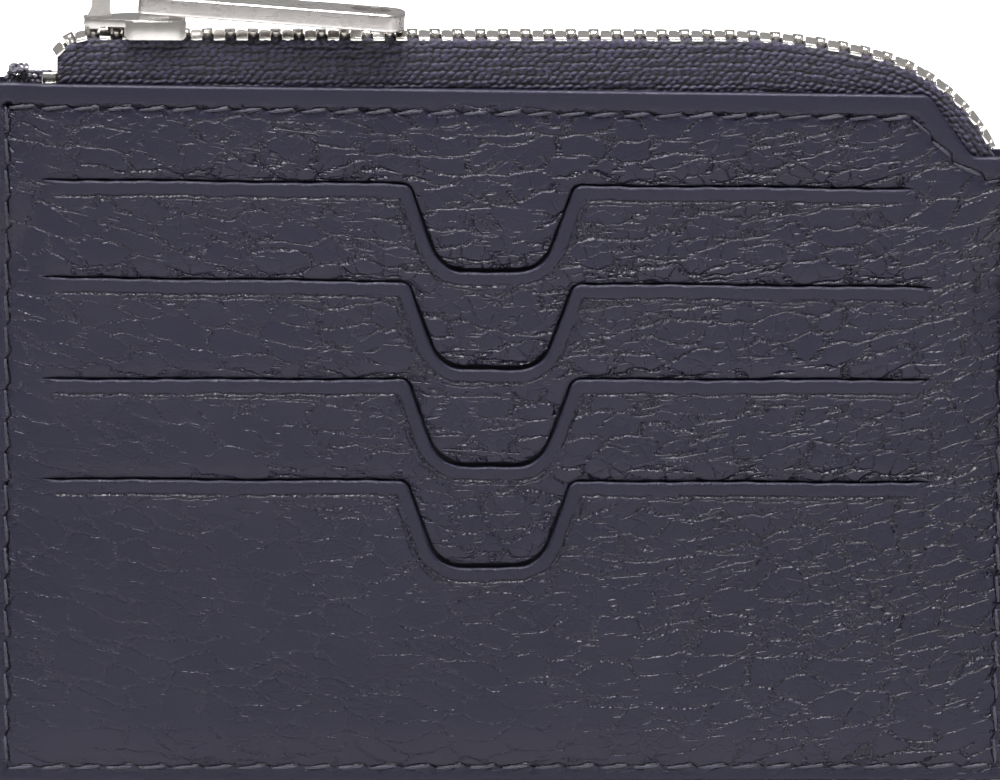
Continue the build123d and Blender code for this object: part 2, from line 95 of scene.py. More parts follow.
def rounded_path(points, radii, step=0.12):
    """Straight runs joined by arcs, as closely spaced points in (x, z)."""
    points = [np.array(p, float) for p in points]
    out = [points[0]]
    for before, corner, after, radius in zip(points, points[1:], points[2:], radii):
        a = (before - corner) / np.linalg.norm(before - corner)
        b = (after - corner) / np.linalg.norm(after - corner)
        half = math.acos(float(np.clip(a @ b, -1, 1))) / 2
        reach = radius / math.tan(half)
        start, end = corner + a * reach, corner + b * reach
        centre = corner + (a + b) / np.linalg.norm(a + b) * radius / math.sin(half)
        turn = math.pi - 2 * half
        count = max(3, int(turn * radius / step))
        from_centre, to_centre = start - centre, end - centre
        for n in range(count + 1):
            t = n / count
            mix = math.sin((1 - t) * turn) * from_centre + math.sin(t * turn) * to_centre
            out.append(centre + mix / math.sin(turn))
    out.append(points[-1])
    dense = [out[0]]
    for p, q in zip(out, out[1:]):
        count = max(1, int(np.linalg.norm(q - p) / step))
        dense += [p + (q - p) * (n + 1) / count for n in range(count)]
    return np.array(dense)


def nearest(path, points, with_index=False):
    """Distance from each point to a densely spaced path, and which of its points is nearest."""
    tree = KDTree(len(path))
    for n, (x, z) in enumerate(path):
        tree.insert((x, z, 0), n)
    tree.balance()
    found = [tree.find((x, z, 0)) for x, z in points]
    if with_index:
        return np.array([f[2] for f in found]), np.array([f[1] for f in found], dtype=int)
    return np.array([f[2] for f in found])


def add_object(name, data):
    """Puts a mesh, light or camera into the scene."""
    made = bpy.data.objects.new(name, data)
    bpy.context.scene.collection.objects.link(made)
    return made


def make_object(name, vertices, faces, material, smooth_angle=45):
    """A mesh object from points in millimetres."""
    mesh = bpy.data.meshes.new(name)
    mesh.from_pydata((np.asarray(vertices, float) * MM).tolist(), [], [list(f) for f in faces])
    mesh.update()
    mesh.polygons.foreach_set("use_smooth", [True] * len(mesh.polygons))
    mesh.set_sharp_from_angle(angle=math.radians(smooth_angle))
    mesh.materials.append(material)
    return add_object(name, mesh)


def store_values(piece, label, values):
    """Stores a number for each point of a piece, for its material to read."""
    attribute = piece.data.attributes.new(label, "FLOAT", "POINT")
    attribute.data.foreach_set("value", values)


def tube_faces(rings, ring):
    """Quads between rings of points stored one after another, and a face over each end."""
    faces = []
    for n in range(rings - 1):
        for k in range(ring):
            a, b = n * ring + k, n * ring + (k + 1) % ring
            faces.append((a, b, b + ring, a + ring))
    faces.append(tuple(range(ring))[::-1])
    faces.append(tuple(range((rings - 1) * ring, rings * ring)))
    return faces


def thicken(front, faces, back):
    """Closes an open sheet: its front points, its faces and the matching back points."""
    faces = np.asarray(faces)
    count = len(front)
    edges = np.concatenate([faces[:, [k, (k + 1) % 4]] for k in range(4)])
    key = np.sort(edges, axis=1)
    _, first, uses = np.unique(key, axis=0, return_index=True, return_counts=True)
    rim = edges[first[uses == 1]]
    walls = np.c_[rim[:, 1], rim[:, 0], rim[:, 0] + count, rim[:, 1] + count]
    return np.vstack([front, back]), np.vstack([faces, faces[:, ::-1] + count, walls])


def grid_faces(rows, columns, flip=False):
    """Quads of a grid whose points are stored row by row."""
    r, c = np.meshgrid(np.arange(rows - 1), np.arange(columns - 1), indexing="ij")
    a = (r * columns + c).ravel()
    quads = np.c_[a, a + 1, a + columns + 1, a + columns]
    return quads[:, ::-1] if flip else quads


def prism(outline, low, high, axis):
    """A closed prism on an outline of (x, z) or (x, y) points, along axis "y" or "z"."""
    outline = np.asarray(outline, float)
    (a, b), (next_a, next_b) = outline.T, np.roll(outline, -1, axis=0).T
    if (np.sum(a * next_b - b * next_a) > 0) == (axis == "y"):
        outline = outline[::-1]
    count = len(outline)
    vertices = []
    for level in (low, high):
        for a, b in outline:
            vertices.append((a, level, b) if axis == "y" else (a, b, level))
    faces = [tuple(range(count))[::-1], tuple(range(count, 2 * count))]
    for k in range(count):
        n = (k + 1) % count
        faces.append((k, n, n + count, k + count))
    return vertices, faces


def closed_outline(points, radii, step=0.25):
    """A closed outline with its corners rounded, one radius for each point."""
    middle = (np.array(points[0], float) + np.array(points[-1], float)) / 2
    path = rounded_path([middle, *points, middle], radii, step)
    return path[:-1]


EDGE_ANGLE = math.radians(35)


def joined(parts):
    """The points and faces of several closed parts, as one list of each."""
    vertices, faces = [], []
    for part_vertices, part_faces in parts:
        base = len(vertices)
        vertices += [tuple(v) for v in part_vertices]
        faces += [tuple(base + i for i in f) for f in part_faces]
    return vertices, faces


def bevelled(name, parts, material, width, sharp=40):
    """Closed parts as one object, every sharp edge broken with a small round."""
    return break_edges(make_object(name, *joined(parts), material, 30), width, sharp)


def break_edges(piece, width, sharp=40):
    """Applies a small rounded bevel to a piece's sharp edges."""
    bevel = piece.modifiers.new("edges", "BEVEL")
    bevel.width = width * MM
    bevel.segments = 3
    bevel.limit_method = "ANGLE"
    bevel.angle_limit = EDGE_ANGLE
    depsgraph = bpy.context.evaluated_depsgraph_get()
    mesh = bpy.data.meshes.new_from_object(piece.evaluated_get(depsgraph))
    piece.modifiers.clear()
    piece.data = mesh
    mesh.set_sharp_from_angle(angle=math.radians(sharp))
    # Smooth shading would smear light over the large faces with many corners.
    mesh.polygons.foreach_set("use_smooth", [len(p.vertices) <= 4 for p in mesh.polygons])
    return piece


def cad_copy(node_name, name):
    """A clean copy of a CAD node's mesh, to bevel."""
    mesh = bpy.data.objects[node_name].data.copy()
    mesh.name = name
    work = bmesh.new()
    work.from_mesh(mesh)
    bmesh.ops.remove_doubles(work, verts=work.verts, dist=2e-6)
    flat = math.radians(0.6)
    bmesh.ops.dissolve_limit(work, angle_limit=flat, verts=work.verts, edges=work.edges)
    work.to_mesh(mesh)
    work.free()
    return add_object(name, mesh)


# ---- materials
class Value:
    """A value that varies over a surface; Math nodes do its sums."""

    def __init__(self, tree, socket):
        self.tree = tree
        self.socket = socket

    def maths(self, operation, first, second=0.0, clamp=False):
        """One Math node on values or plain numbers."""
        made = self.tree.nodes.new("ShaderNodeMath")
        made.operation = operation
        made.use_clamp = clamp
        for socket, value in zip(made.inputs, (first, second)):
            if isinstance(value, Value):
                self.tree.links.new(value.socket, socket)
            else:
                socket.default_value = value
        return Value(self.tree, made.outputs[0])

    def __add__(self, other):
        return self.maths("ADD", self, other)

    def __sub__(self, other):
        return self.maths("SUBTRACT", self, other)

    def __mul__(self, other):
        return self.maths("MULTIPLY", self, other)

    def __abs__(self):
        return self.maths("ABSOLUTE", self)

    def most(self, other):
        """The larger of two values."""
        return self.maths("MAXIMUM", self, other)

    def ramp(self, low, high, out_low=0.0, out_high=1.0):
        """Maps low..high smoothly on to out_low..out_high."""
        made = self.tree.nodes.new("ShaderNodeMapRange")
        made.interpolation_type = "SMOOTHSTEP"
        self.tree.links.new(self.socket, made.inputs["Value"])
        made.inputs["From Min"].default_value = low
        made.inputs["From Max"].default_value = high
        made.inputs["To Min"].default_value = out_low
        made.inputs["To Max"].default_value = out_high
        return Value(self.tree, made.outputs["Result"])


class Look:
    """A node material: its shader, and methods that add the nodes of its pattern."""

    def __init__(self, name):
        self.material = bpy.data.materials.new(name)
        self.material.use_nodes = True
        self.tree = self.material.node_tree
        self.shader = self.tree.nodes["Principled BSDF"]

    def fill(self, made, inputs):
        """Fills a node's inputs: values are linked, numbers and colours are set."""
        for key, value in inputs.items():
            if isinstance(value, Value):
                self.tree.links.new(value.socket, made.inputs[key])
            else:
                made.inputs[key].default_value = value

    def node(self, kind, output, inputs, **settings):
        """Adds a node and gives one of its outputs."""
        made = self.tree.nodes.new("ShaderNode" + kind)
        for key, value in settings.items():
            setattr(made, key, value)
        self.fill(made, inputs)
        return Value(self.tree, made.outputs[output])

    def space(self, scale, warp=0.0, warp_scale=1.0, detail=2, source=None):
        """Object coordinates times a scale for each axis, bent a little by noise."""
        source = source or self.node("TexCoord", "Object", {})
        if warp:
            wave = {"Vector": source, "Scale": warp_scale, "Detail": detail}
            wave = self.node("TexNoise", "Color", wave)
            centred = {0: wave, 1: (0.5, 0.5, 0.5)}
            centred = self.node("VectorMath", 0, centred, operation="SUBTRACT")
            pushed = {0: centred, 1: (warp, warp, warp), 2: source}
            source = self.node("VectorMath", 0, pushed, operation="MULTIPLY_ADD")
        return self.node("Mapping", "Vector", {"Vector": source, "Scale": scale})

    def cell_edges(self, vector, width):
        """1 on the thin lines between Voronoi cells, 0 inside them."""
        cells = {"Vector": vector, "Scale": 1.0}
        away = self.node("TexVoronoi", "Distance", cells, feature="DISTANCE_TO_EDGE")
        return away.ramp(0.0, width, 1.0, 0.0)

    def noise(self, vector, scale, detail=3.0, low=0.35, high=0.65):
        """Soft noise, with low..high stretched to fill 0..1."""
        soft = {"Vector": vector, "Scale": scale, "Detail": detail}
        return self.node("TexNoise", "Fac", soft).ramp(low, high)

    def stored(self, name):
        """A value stored on the mesh's points."""
        return self.node("Attribute", "Fac", {}, attribute_name=name)

    def mix(self, factor, first, second):
        """A mix of two colours, each a constant or a value."""
        first, second = ((*c, 1) if isinstance(c, tuple) else c for c in (first, second))
        return self.node("Mix", 2, {"Factor": factor, 6: first, 7: second}, data_type="RGBA")

    def bump(self, height, strength, distance):
        """Raises the surface by height, 1 being distance in metres."""
        raised = {"Height": height, "Strength": strength, "Distance": distance}
        self.fill(self.shader, {"Normal": self.node("Bump", "Normal", raised)})


def leather_material():
    """Navy pebble-grain leather: pebbles, long wavy wrinkles between them and fine pores."""
    look = Look("pebble_leather")
    flat = look.space((1, 1, 1))
    x, y, z = (look.node("SeparateXYZ", axis, {"Vector": flat}) for axis in "XYZ")

    # Wrinkles run across in a shallow arch, broken along their length; pebbles lie between.
    arched = look.node("CombineXYZ", "Vector", {"X": x, "Y": y, "Z": z - x * x * 2.8})
    wrinkled = look.space((200, 200, 470), 0.0034, 200, 5, source=arched)
    broken = look.noise(look.space((150, 150, 1500), source=arched), 1.0, 2, 0.40, 0.50)
    wrinkles = look.cell_edges(wrinkled, 0.105) * broken
    pebbles = look.cell_edges(look.space((480, 480, 640), 0.0014, 520, 3), 0.08)
    patchy = look.noise(flat, 110, 3, 0.34, 0.66)
    pebbles = pebbles * patchy.ramp(0.0, 1.0, 0.03, 0.27)

    # The skin is pressed smooth at its edges, and worked more at the top right and in front.
    smooth_skin = look.stored("smooth_skin")
    grain = smooth_skin.maths("SUBTRACT", 1.0, smooth_skin, clamp=True)
    # Mask of the painted shade in the cracks between pebbles, where no wrinkle runs.
    crack_shade = pebbles.maths("SUBTRACT", pebbles, wrinkles, clamp=True) * grain
    worked = (z + x * 0.73).ramp(0.0, 0.08, 0.22, 1.9) * y.ramp(-0.001, 0.001, 1.0, 0.5)
    creases = wrinkles.most(pebbles) * grain * worked

    # Below each cut a card has pressed two broken fold lines.
    below_cut = look.stored("below_cut")
    wander = look.noise(flat, 700, 3, 0.2, 0.8)
    below_fold = below_cut + wander * 0.26
    fold = abs(below_fold - 1.70).ramp(0.0, 0.24, 1.3, 0.0)
    fold = fold * look.noise(flat, 260, 2, 0.28, 0.48)
    second = abs(below_fold - 2.12).ramp(0.0, 0.17, 1.0, 0.0)
    second = second * look.noise(flat, 190, 3, 0.48, 0.58)
    creases = creases.most(fold.most(second) * look.stored("fold_here"))
    ragged = look.noise(flat, 3600, 3, 0.42, 0.58)
    creases = creases * 0.38 + creases * ragged * 1.1

    # The needle has cut a slanted slit for each stitch.
    turn = look.stored("seam_along")
    turn = turn.maths("FRACT", turn)
    zigzag = turn.ramp(0.0, 0.78, -0.16, 0.18) - turn.ramp(0.78, 1.0, 0.0, 0.34)
    zigzag = zigzag + (wander - 0.5) * 0.3
    slit = abs(look.stored("seam_across") - zigzag - 0.1).ramp(0.01, 0.15, 1.0, 0.0)
    slit = slit * look.noise(flat, 1500, 3, 0.34, 0.50)
    creases = creases.most(slit)
    pores = look.noise(flat, 5200, 4, 0.3, 0.7)
    look.bump(pores * below_cut.ramp(0.1, 0.5, 0.14, 0.05) - creases, 1.0, 0.00030)

    tone = look.noise(flat, 60, 4, 0.3, 0.7)
    colour = look.mix(tone, (0.0044, 0.0042, 0.0142), (0.0064, 0.0060, 0.0170))
    # Painted light: the base colour is lightened upwards from 12 mm to 60 mm, as if the top were
    # lit more from above.
    colour = look.mix(z.ramp(0.012, 0.060) * 0.5, colour, (0.0190, 0.0175, 0.0330))
    # Painted shade: the cracks between the pebbles are painted darker.
    colour = look.mix(crack_shade, colour, (0.004, 0.004, 0.010))
    # Painted shade: the needle slits are painted darker.
    colour = look.mix(slit, colour, (0.003, 0.003, 0.006))
    shine = (creases * 0.8).most(below_cut.ramp(0.1, 0.4, 0.8, 0.0))
    rough = pores.ramp(0.0, 1.0, 0.30, 0.40) + smooth_skin * 0.14
    surface = {
        "Base Color": colour,
        "Roughness": (rough - shine * 0.13).most(0.2),
        "Specular IOR Level": 0.31,
        "Specular Tint": (0.93, 0.91, 1.0, 1),
    }
    look.fill(look.shader, surface)
    return look.material


def plain_metal(name, base, roughness):
    """Polished nickel with faint brushing and uneven gloss."""
    look = Look(name)
    streak = look.noise(look.space((400, 9000, 9000)), 1.0, 2)
    cloud = look.noise(look.space((1, 1, 1)), 900, 3)
    both = streak * 0.6 + cloud
    look.bump(both, 0.06, 0.00002)
    surface = {
        "Metallic": 1.0,
        "Roughness": both.ramp(0.0, 1.6, roughness * 0.9, roughness * 1.2),
        "Base Color": look.mix(cloud, base, tuple(c * 0.93 for c in base)),
    }
    look.fill(look.shader, surface)
    return look.material


def cloth_material(name, base, lighter, scale):
    """Fine plain weave by two crossed waves."""
    look = Look(name)
    threads = {"Vector": look.space((scale, scale, scale)), "Scale": 1.0, "Distortion": 0.6}
    warp, weft = (look.node("TexWave", "Fac", threads, bands_direction=d) for d in "XZ")
    height = warp * weft
    look.bump(height, 0.6, 0.00008)
    # Painted shade: the colour runs from base in the low places of the weave to lighter on the
    # raised threads.
    colour = look.mix(height, base, lighter)
    look.fill(look.shader, {"Base Color": colour, "Roughness": 0.8, "Sheen Weight": 0.3})
    return look.material


def yarn_material(name, base, lighter, woven=False):
    """Twisted yarn: fibres along the strand, and painted shade between the yarns of a weave."""
    look = Look(name)
    fibres = look.noise(look.space((2500, 9000, 9000)), 1.0, 4)
    cloud = look.noise(look.space((1, 1, 1)), 700, 2)
    colour = look.mix(fibres * cloud, base, lighter)
    if woven:
        # Painted shade: the low places between the yarns are darkened to 0.15 of the base colour.
        depth = look.stored("yarn").ramp(0.15, 0.8)
        colour = look.mix(depth, tuple(0.15 * c for c in base), colour)
        colour = look.mix(look.stored("burnt"), colour, (0.022, 0.009, 0.007))
    look.bump(fibres, 0.5, 0.00004)
    look.fill(look.shader, {"Base Color": colour, "Roughness": 0.62, "Sheen Weight": 0.15})
    return look.material


LEATHER_LOOK = leather_material()
LINING_LOOK = cloth_material("lining_cloth", (0.020, 0.020, 0.030), (0.035, 0.034, 0.048), 3600)
TAPE_LOOK = yarn_material("zip_tape_yarn", (0.013, 0.010, 0.031), (0.046, 0.034, 0.088), True)
TAIL_LOOK = yarn_material("tape_end_yarn", (0.024, 0.021, 0.042), (0.16, 0.15, 0.18))
THREAD_LOOK = yarn_material("seam_thread", (0.014, 0.013, 0.028), (0.042, 0.040, 0.068))
TOOTH_LOOK = plain_metal("nickel_teeth", (0.80, 0.77, 0.73), 0.22)
SLIDER_LOOK = plain_metal("nickel_slider", (0.72, 0.685, 0.655), 0.20)
PULL_LOOK = plain_metal("nickel_pull", (0.62, 0.585, 0.57), 0.29)


# ---- the leather's shape
def wedge(z):
    """Half thickness of the holder away from its sewn edges."""
    return OUTER_BOTTOM + (OUTER_TOP - OUTER_BOTTOM) * np.clip(z, 0, HEIGHT + 6) / HEIGHT


def outer_half(x, z):
    """Half thickness of the holder: full in the middle, pinched along the sewn edges."""
    half = wedge(z)
    sewn = 1.3
    near_shoulder = smooth((z - 50) / 14)
    near_top = smooth((z - 60) / 12)
    for distance, edge, reach in (
        (x + HALF_WIDTH, sewn + 0.9 * near_top, 8.0 - 2.0 * near_top),
        (HALF_WIDTH - x, sewn + 1.6 * near_shoulder, 8.0 - 5.5 * near_shoulder),
        (z, sewn + 0 * x, 6.0 + 0 * x),
    ):
        half = edge + np.maximum(half - edge, 0) * smooth(distance / reach)
    return half


def top_outline(x):
    """Height of the leather's top edge along its width, with the corner cut away."""
    return np.interp(x, TOP_PATH[:, 0], TOP_PATH[:, 1])


TOP_PATH = rounded_path(
    [
        (-HALF_WIDTH - 1, HEIGHT),
        (CORNER_X, HEIGHT - TOP_DROP),
        (SHOULDER_X, SHOULDER_Z),
        (HALF_WIDTH + 1, SHOULDER_Z),
    ],
    [1.6, 1.2],
)


def slot_path(z, drop, right):
    """One slot with its thumb notch, left end to right end, cut by hand and so a little uneven."""
    path = rounded_path(
        [
            (SLOT_LEFT, z),
            (NOTCH_X - NOTCH_TOP, z),
            (NOTCH_X - NOTCH_FLOOR, z - NOTCH_DEPTH),
            (NOTCH_X + NOTCH_FLOOR, z - NOTCH_DEPTH),
            (NOTCH_X + NOTCH_TOP, z),
            (right, z),
        ],
        [1.3, 3.7, 3.7, 1.3],
    )
    along = (path[:, 0] - SLOT_LEFT) / (right - SLOT_LEFT)
    path[:, 1] -= drop * along
    path[:, 1] += 0.05 * np.sin(path[:, 0] * 0.31 + z) + 0.025 * np.sin(path[:, 0] * 1.3 + 2 * z)
    return path


SLOT_PATHS = [slot_path(*slot) for slot in SLOTS]


def spaced(stops):
    """Positions from (end, step) stops, the steps fitted evenly between ends."""
    out = [stops[0][0]]
    for (start, _), (end, step) in zip(stops, stops[1:]):
        count = max(1, round((end - start) / step))
        out += [start + (end - start) * (n + 1) / count for n in range(count)]
    return np.array(out)


def panel_columns():
    """Columns of the leather grid, closer together at edges, slot ends and notch walls."""
    w = HALF_WIDTH
    return spaced(
        [
            (-w, 0),
            (-w + 0.45, 0.09),
            (-w + 3.2, 0.3),
            (SLOT_LEFT - 0.4, 0.45),
            (SLOT_LEFT + 0.8, 0.2),
            (NOTCH_X - 10.6, 0.45),
            (NOTCH_X - 5.6, 0.16),
            (NOTCH_X - 2.4, 0.26),
            (NOTCH_X + 2.4, 0.45),
            (NOTCH_X + 5.6, 0.26),
            (NOTCH_X + 10.6, 0.16),
            (41.2, 0.45),
            (48.5, 0.25),
            (w - 0.45, 0.35),
            (w, 0.09),
        ]
    )


SEAM_DROP = 2.3


def band_shares(height, bottom_edge, top_edge):
    """Rows of one band, as shares of its height from its lower to its upper line."""
    cut_edge = [0.04, 0.1, 0.18, 0.28, 0.42, 0.7, 1.2]
    lip = [0.05, 0.11, 0.19, 0.3, 0.45, 0.7, 1.0, 1.3, 1.7]
    low = [0.0] + (cut_edge if bottom_edge else [0.1, 0.25, 0.5, 0.9])
    high = [height] + [height - n for n in (cut_edge if top_edge else lip)]
    start, end = max(low), min(high)
    count = max(1, round((end - start) / 0.8))
    middle = [start + (end - start) * n / count for n in range(1, count)]
    if top_edge:
        seam = height - SEAM_DROP
        middle = [m for m in middle if abs(m - seam) > 0.95]
        middle += [seam + 0.2 * n for n in range(-4, 5)]
    return np.array(sorted(low + middle + high)) / height


def panel_grid(slotted):
    """Points (x, z) and quads of the leather, cut along the slots if slotted.

    Also gives, for each point, the slot it borders and on which side it lies.
    """
    xs = panel_columns()
    lines = [np.zeros_like(xs)]
    spans = []
    if slotted:
        for path, (_, _, right) in zip(reversed(SLOT_PATHS), reversed(SLOTS)):
            lines.append(np.interp(xs, path[:, 0], path[:, 1]))
            spans.append((xs > SLOT_LEFT) & (xs < right))
    lines.append(top_outline(xs))
    points, side, faces = [], [], []
    rows = []
    for n, (low, high) in enumerate(zip(lines, lines[1:])):
        shares = band_shares(high[0] - low[0], n == 0, n == len(lines) - 2)
        for k, share in enumerate(shares):
            z = low + (high - low) * share
            first = k == 0 and n > 0
            new = np.flatnonzero(spans[n - 1]) if first else np.arange(len(xs))
            index = rows[-1].copy() if first else np.empty(len(xs), dtype=int)
            index[new] = len(points) + np.arange(len(new))
            points += [(xs[i], z[i]) for i in new]
            side += [n] * len(new)
            if rows and not first:
                last = rows[-1]
                faces.append(np.c_[last[:-1], last[1:], index[1:], index[:-1]])
            rows.append(index)
    return np.array(points), np.vstack(faces), np.array(side)


def round_corner(points, corner, inward, radius):
    """Bends a square corner of the grid into a quarter circle."""
    local = (points - corner) * inward
    inside = (local[:, 0] < radius) & (local[:, 1] < radius)
    u, v = local[inside, 0], local[inside, 1]
    a, b = 1 - u / radius, 1 - v / radius
    longest = np.maximum(a, b)
    length = np.maximum(np.hypot(a, b), 1e-9)
    shrink = longest / length
    bent = np.c_[radius * (1 - a * shrink), radius * (1 - b * shrink)]
    points[inside] = bent * inward + corner
    return points


SEAM_INSET = 1.6
SEAM_SIDE = HALF_WIDTH - SEAM_INSET
ZIP_SEAM_Z = HEIGHT - SEAM_DROP
STITCH_PITCH = 3.35
SEAM_START = (-SEAM_SIDE, ZIP_SEAM_Z)
SEAM_MEET = (SEAM_SIDE, 62.7)
PERIMETER_SEAM = [SEAM_START, (-SEAM_SIDE, SEAM_INSET), (SEAM_SIDE, SEAM_INSET), SEAM_MEET]
ZIP_SEAM = [SEAM_START, (41.4, ZIP_SEAM_Z - TOP_DROP), (45.6, 64.9), (49.0, 62.9), SEAM_MEET]


def needle_holes(points):
    """Evenly spaced needle holes along a seam, corner to corner."""
    holes = []
    for start, end in zip(points, points[1:]):
        start, end = np.array(start), np.array(end)
        count = max(1, round(float(np.linalg.norm(end - start)) / STITCH_PITCH))
        holes += [start + (end - start) * n / count for n in range(count)]
    holes.append(np.array(points[-1]))
    return np.array(holes)


def seam_relief(points):
    """How far the leather is drawn in along the seams and at the needle holes."""
    depth = np.zeros(len(points))
    for seam in (PERIMETER_SEAM, ZIP_SEAM):
        line = rounded_path(seam, [0.05] * (len(seam) - 2), step=0.2)
        away = nearest(line, points)
        depth += 0.13 * np.exp(-((away / 0.55) ** 2))
        holes = needle_holes(seam)
        away = nearest(holes, points)
        depth += 0.34 * np.exp(-((away / 0.36) ** 2))
    return depth


def seam_place(points):
    """Where each point lies on the nearest seam: stitches along it, millimetres across it."""
    along = np.zeros(len(points))
    across = np.full(len(points), 9.0)
    for seam in (PERIMETER_SEAM, ZIP_SEAM):
        start = 0.0
        for a, b in zip(seam, seam[1:]):
            a, b = np.array(a), np.array(b)
            length = float(np.linalg.norm(b - a))
            ahead = (b - a) / length
            left = np.array([-ahead[1], ahead[0]])
            count = max(1, round(length / STITCH_PITCH))
            t = (points - a) @ ahead
            s = (points - a) @ left
            inside = (t > -0.3) & (t < length + 0.3) & (np.abs(s) < np.abs(across))
            along[inside] = start + t[inside] / length * count
            across[inside] = s[inside]
            start += count
    return along, across


def outline_distance(points):
    """Distance of each point from the leather's cut edge."""
    x, z = points.T
    away = np.minimum(np.minimum(x + HALF_WIDTH, HALF_WIDTH - x), z)
    near_top = nearest(TOP_PATH, points)
    return np.minimum(away, near_top)


def waviness(x, z):
    """Slow unevenness of soft leather."""
    return (
        0.07 * np.sin(x * 0.11 + 1.3) * np.sin(z * 0.13 + 0.4)
        + 0.05 * np.sin(x * 0.23 - z * 0.17 + 2.0)
        + 0.03 * np.sin(x * 0.51 + z * 0.43)
    )


def slot_relief(points, side):
    """Raised lips and rounded cut edges at the slots, outward positive.

    Also gives where the skin is pressed smooth, how far each point lies below a cut, and
    where there is a fold below it.
    """
    out = np.zeros(len(points))
    pressed = np.zeros(len(points))
    below_cut = np.full(len(points), 9.0)
    fold_here = np.zeros(len(points))
    bands = len(SLOTS)
    for number, (path, (_, _, right)) in enumerate(zip(SLOT_PATHS, SLOTS)):
        x = points[:, 0]
        for band, is_lip in ((bands - 1 - number, True), (bands - number, False)):
            chosen = side == band
            away = nearest(path, points[chosen])
            ends = smooth((x[chosen] - SLOT_LEFT + 0.2) / 1.6)
            ends = ends * smooth((right + 0.2 - x[chosen]) / 1.6)
            if is_lip:
                rise = 0.24 * np.exp(-((away / 2.4) ** 2))
                rise -= 0.06 * np.exp(-(((away - 1.7) / 0.5) ** 2))
                edge = -0.34 * rounding(away, 0.32)
                out[chosen] += ends * (rise + edge)
                lip = ends * (1 - smooth((away - 1.3) / 0.4))
                pressed[chosen] = np.maximum(pressed[chosen], lip)
                below_cut[chosen] = np.minimum(below_cut[chosen], away)
                within = smooth((x[chosen] - SLOT_LEFT - 0.5) / 2.4)
                fold_here[chosen] = within * smooth((right - 0.5 - x[chosen]) / 2.4)
            else:
                sink = -0.2 * np.exp(-((away / 1.0) ** 2))
                edge = -0.14 * rounding(away, 0.2)
                out[chosen] += ends * (sink + edge)
    return out, pressed, below_cut, fold_here


def part_lips(sheets, side):
    """Opens each slot a little, wider round its notch, so that its two lips stand apart."""
    bands = len(SLOTS)
    flat = sheets[0][:, [0, 2]].copy()
    for number, (path, (_, _, right)) in enumerate(zip(SLOT_PATHS, SLOTS)):
        along = np.gradient(path, axis=0)
        along /= np.linalg.norm(along, axis=1)[:, None]
        normals = np.c_[-along[:, 1], along[:, 0]]
        for band, direction in ((bands - 1 - number, -1), (bands - number, 1)):
            chosen = np.flatnonzero(side == band)
            away, index = nearest(path, flat[chosen], with_index=True)
            x = flat[chosen, 0]
            ends = smooth((x - SLOT_LEFT) / 0.35) * smooth((right - x) / 0.35)
            notch = smooth((NOTCH_TOP + 1.0 - np.abs(x - NOTCH_X)) / 3)
            floor = smooth((6.5 - np.abs(x - NOTCH_X)) / 3)
            gap = 0.085 + 0.06 * notch + 0.08 * floor + 0.025 * np.sin(2.1 * x + number)
            move = direction * gap * ends * (1 - smooth(away / 1.0))
            for sheet in sheets:
                sheet[chosen, 0] += move * normals[index, 0]
                sheet[chosen, 2] += move * normals[index, 1]


def make_leather(name, node_name, sign, slotted):
    """One leather panel, sign -1 for the front and 1 for the back."""
    points, faces, side = panel_grid(slotted)
    points = points.copy()
    edge = outline_distance(points)
    relief = waviness(points[:, 0], points[:, 1]) * smooth(edge / 6)
    pressed = np.zeros(len(points))
    below_cut = np.full(len(points), 9.0)
    fold_here = np.zeros(len(points))
    if slotted:
        lips, pressed, below_cut, fold_here = slot_relief(points, side)
        relief = relief + lips
    relief = relief - seam_relief(points)
    relief = relief - 0.34 * rounding(edge, 0.34)
    band = 1 - smooth((nearest(TOP_PATH, points) - 1.7) / 0.7)
    rim = 1 - smooth((edge - 0.7) / 0.6)
    pressed = np.maximum(pressed, np.maximum(band, rim))
    for corner, inward, radius in (
        ((-HALF_WIDTH, 0.0), (1, 1), 1.3),
        ((HALF_WIDTH, 0.0), (-1, 1), 1.3),
        ((-HALF_WIDTH, HEIGHT), (1, -1), 1.0),
        ((HALF_WIDTH, SHOULDER_Z), (-1, -1), 1.0),
    ):
        points = round_corner(points, np.array(corner), np.array(inward), radius)
    x, z = points.T
    half = outer_half(x, z)
    front = np.c_[x, sign * (half + relief), z]
    back = np.c_[x, sign * (half - LEATHER), z]
    if slotted:
        part_lips((front, back), side)
    vertices, quads = thicken(front, faces if sign < 0 else faces[:, ::-1], back)
    piece = make_object(name, vertices, quads, LEATHER_LOOK, 60)
    along, across = seam_place(points)
    for label, values, behind in (
        ("smooth_skin", pressed, 1.0),
        ("below_cut", below_cut, 9.0),
        ("fold_here", fold_here, 0.0),
        ("seam_along", along, 0.0),
        ("seam_across", across, 9.0),
    ):
        store_values(piece, label, np.concatenate([values, np.full(len(values), behind)]))
    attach(piece, "holder")
    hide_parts(node_name)


make_leather("front_leather", "front_panel", -1, True)
make_leather("back_leather", "back_panel", 1, False)


# ---- linings and pockets
CLOTH = 0.05
LAYER_STEP = 0.13
BELOW_TOP = 4.0


def make_cloth(name, node_name, sign, layer):
    """A thin cloth sheet lying that many layers inside the leather."""
    low, high = corners_mm(node_name)
    columns, rows = 90, 60
    across, up = np.linspace(low[0], high[0], columns), np.linspace(low[2], high[2], rows)
    x, z = (grid.ravel() for grid in np.meshgrid(across, up))
    z = np.minimum(z, top_outline(x) - BELOW_TOP)
    inner = outer_half(x, z) - LEATHER - CLOTH
    y = np.maximum(inner - layer * LAYER_STEP, 0.06)
    front = np.c_[x, sign * y, z]
    back = np.c_[x, sign * (y - CLOTH), z]
    faces = grid_faces(rows, columns, flip=sign > 0)
    vertices, quads = thicken(front, faces, back)
    piece = make_object(name, vertices, quads, LINING_LOOK)
    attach(piece, "holder")
    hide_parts(node_name)


for number in range(1, 5):
    make_cloth(f"pocket_cloth_{number}", f"card_pocket_{number}", -1, 5 - number)
make_cloth("front_lining_cloth", "front_lining", -1, 5)
make_cloth("back_lining_cloth", "back_lining", 1, 1)


